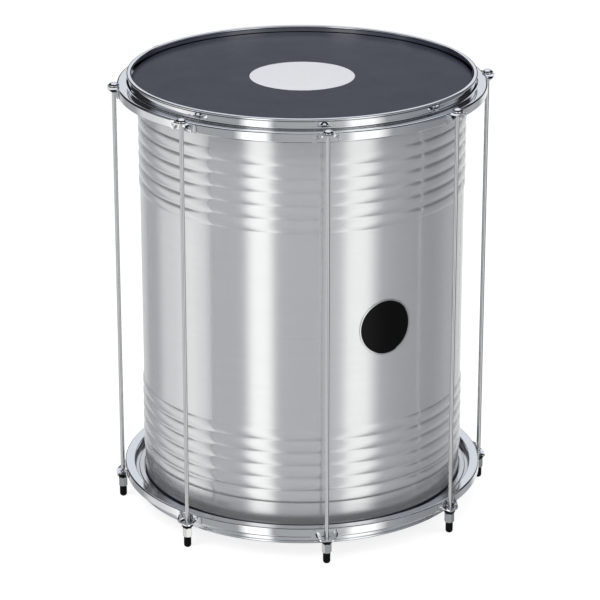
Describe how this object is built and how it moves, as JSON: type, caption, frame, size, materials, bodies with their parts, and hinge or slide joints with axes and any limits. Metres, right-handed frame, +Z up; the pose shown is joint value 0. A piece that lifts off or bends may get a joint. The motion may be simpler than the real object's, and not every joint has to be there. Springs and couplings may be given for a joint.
{
  "type": "surdo drum",
  "caption": "Deep cylindrical metal bass drum with a film head at each end, chromed counterhoops, claws and full-length tension rods that end in rubber feet.",
  "frame": {"origin": "on the drum's axis, level with the tips of its rubber feet", "axes": "+Z up along the drum's axis, the badge faces -Y"},
  "size_m": [0.517, 0.517, 0.6343],
  "materials": {
    "shell": "brushed",
    "badge": "satin",
    "head_film": "fine leather-like grain",
    "flesh_hoop": "plated",
    "hoop_chrome": "mirror polished",
    "rod_plated": "bright plated",
    "claw_chrome": "polished",
    "washer_nylon": "moulded",
    "nut_plated": "bright plated",
    "foot_rubber": "moulded"
  },
  "bodies": {
    "drum": {"shell": "shell", "badge": "badge", "top_head": "head_film", "bottom_head": "head_film", "top_flesh_hoop": "flesh_hoop", "bottom_flesh_hoop": "flesh_hoop", "top_hoop": "hoop_chrome", "bottom_hoop": "hoop_chrome", "rod_1": "rod_plated", "rod_2": "rod_plated", "rod_3": "rod_plated", "rod_4": "rod_plated", "rod_5": "rod_plated", "rod_6": "rod_plated", "rod_7": "rod_plated", "rod_8": "rod_plated", "top_claw_1": "claw_chrome", "top_claw_2": "claw_chrome", "top_claw_3": "claw_chrome", "top_claw_4": "claw_chrome", "top_claw_5": "claw_chrome", "top_claw_6": "claw_chrome", "top_claw_7": "claw_chrome", "top_claw_8": "claw_chrome", "bottom_claw_1": "claw_chrome", "bottom_claw_2": "claw_chrome", "bottom_claw_3": "claw_chrome", "bottom_claw_4": "claw_chrome", "bottom_claw_5": "claw_chrome", "bottom_claw_6": "claw_chrome", "bottom_claw_7": "claw_chrome", "bottom_claw_8": "claw_chrome"},
    "washer_body_1": {"washer_1": "washer_nylon"},
    "nut_body_1": {"nut_1": "nut_plated", "foot_1": "foot_rubber"},
    "washer_body_2": {"washer_2": "washer_nylon"},
    "nut_body_2": {"nut_2": "nut_plated", "foot_2": "foot_rubber"},
    "washer_body_3": {"washer_3": "washer_nylon"},
    "nut_body_3": {"nut_3": "nut_plated", "foot_3": "foot_rubber"},
    "washer_body_4": {"washer_4": "washer_nylon"},
    "nut_body_4": {"nut_4": "nut_plated", "foot_4": "foot_rubber"},
    "washer_body_5": {"washer_5": "washer_nylon"},
    "nut_body_5": {"nut_5": "nut_plated", "foot_5": "foot_rubber"},
    "washer_body_6": {"washer_6": "washer_nylon"},
    "nut_body_6": {"nut_6": "nut_plated", "foot_6": "foot_rubber"},
    "washer_body_7": {"washer_7": "washer_nylon"},
    "nut_body_7": {"nut_7": "nut_plated", "foot_7": "foot_rubber"},
    "washer_body_8": {"washer_8": "washer_nylon"},
    "nut_body_8": {"nut_8": "nut_plated", "foot_8": "foot_rubber"}
  },
  "joints": [
    {"name": "nut_1_travel", "type": "slide", "parent": "drum", "child": "washer_body_1", "axis": [0, 0, 1], "range_m": [-0.004, 0]},
    {"name": "nut_1_turn", "type": "hinge", "parent": "washer_body_1", "child": "nut_body_1", "pos_m": [0.10065, -0.24298, 0], "axis": [0, 0, 1], "range_deg": [-1440, 0]},
    {"name": "nut_2_travel", "type": "slide", "parent": "drum", "child": "washer_body_2", "axis": [0, 0, 1], "range_m": [-0.004, 0]},
    {"name": "nut_2_turn", "type": "hinge", "parent": "washer_body_2", "child": "nut_body_2", "pos_m": [0.24298, -0.10065, 0], "axis": [0, 0, 1], "range_deg": [-1440, 0]},
    {"name": "nut_3_travel", "type": "slide", "parent": "drum", "child": "washer_body_3", "axis": [0, 0, 1], "range_m": [-0.004, 0]},
    {"name": "nut_3_turn", "type": "hinge", "parent": "washer_body_3", "child": "nut_body_3", "pos_m": [0.24298, 0.10065, 0], "axis": [0, 0, 1], "range_deg": [-1440, 0]},
    {"name": "nut_4_travel", "type": "slide", "parent": "drum", "child": "washer_body_4", "axis": [0, 0, 1], "range_m": [-0.004, 0]},
    {"name": "nut_4_turn", "type": "hinge", "parent": "washer_body_4", "child": "nut_body_4", "pos_m": [0.10065, 0.24298, 0], "axis": [0, 0, 1], "range_deg": [-1440, 0]},
    {"name": "nut_5_travel", "type": "slide", "parent": "drum", "child": "washer_body_5", "axis": [0, 0, 1], "range_m": [-0.004, 0]},
    {"name": "nut_5_turn", "type": "hinge", "parent": "washer_body_5", "child": "nut_body_5", "pos_m": [-0.10065, 0.24298, 0], "axis": [0, 0, 1], "range_deg": [-1440, 0]},
    {"name": "nut_6_travel", "type": "slide", "parent": "drum", "child": "washer_body_6", "axis": [0, 0, 1], "range_m": [-0.004, 0]},
    {"name": "nut_6_turn", "type": "hinge", "parent": "washer_body_6", "child": "nut_body_6", "pos_m": [-0.24298, 0.10065, 0], "axis": [0, 0, 1], "range_deg": [-1440, 0]},
    {"name": "nut_7_travel", "type": "slide", "parent": "drum", "child": "washer_body_7", "axis": [0, 0, 1], "range_m": [-0.004, 0]},
    {"name": "nut_7_turn", "type": "hinge", "parent": "washer_body_7", "child": "nut_body_7", "pos_m": [-0.24298, -0.10065, 0], "axis": [0, 0, 1], "range_deg": [-1440, 0]},
    {"name": "nut_8_travel", "type": "slide", "parent": "drum", "child": "washer_body_8", "axis": [0, 0, 1], "range_m": [-0.004, 0]},
    {"name": "nut_8_turn", "type": "hinge", "parent": "washer_body_8", "child": "nut_body_8", "pos_m": [-0.10065, -0.24298, 0], "axis": [0, 0, 1], "range_deg": [-1440, 0]}
  ],
  "couplings": [
    {"joint": "nut_1_travel", "follows": "nut_1_turn", "m_per_rad": 0.00015915},
    {"joint": "nut_2_travel", "follows": "nut_2_turn", "m_per_rad": 0.00015915},
    {"joint": "nut_3_travel", "follows": "nut_3_turn", "m_per_rad": 0.00015915},
    {"joint": "nut_4_travel", "follows": "nut_4_turn", "m_per_rad": 0.00015915},
    {"joint": "nut_5_travel", "follows": "nut_5_turn", "m_per_rad": 0.00015915},
    {"joint": "nut_6_travel", "follows": "nut_6_turn", "m_per_rad": 0.00015915},
    {"joint": "nut_7_travel", "follows": "nut_7_turn", "m_per_rad": 0.00015915},
    {"joint": "nut_8_travel", "follows": "nut_8_turn", "m_per_rad": 0.00015915}
  ]
}
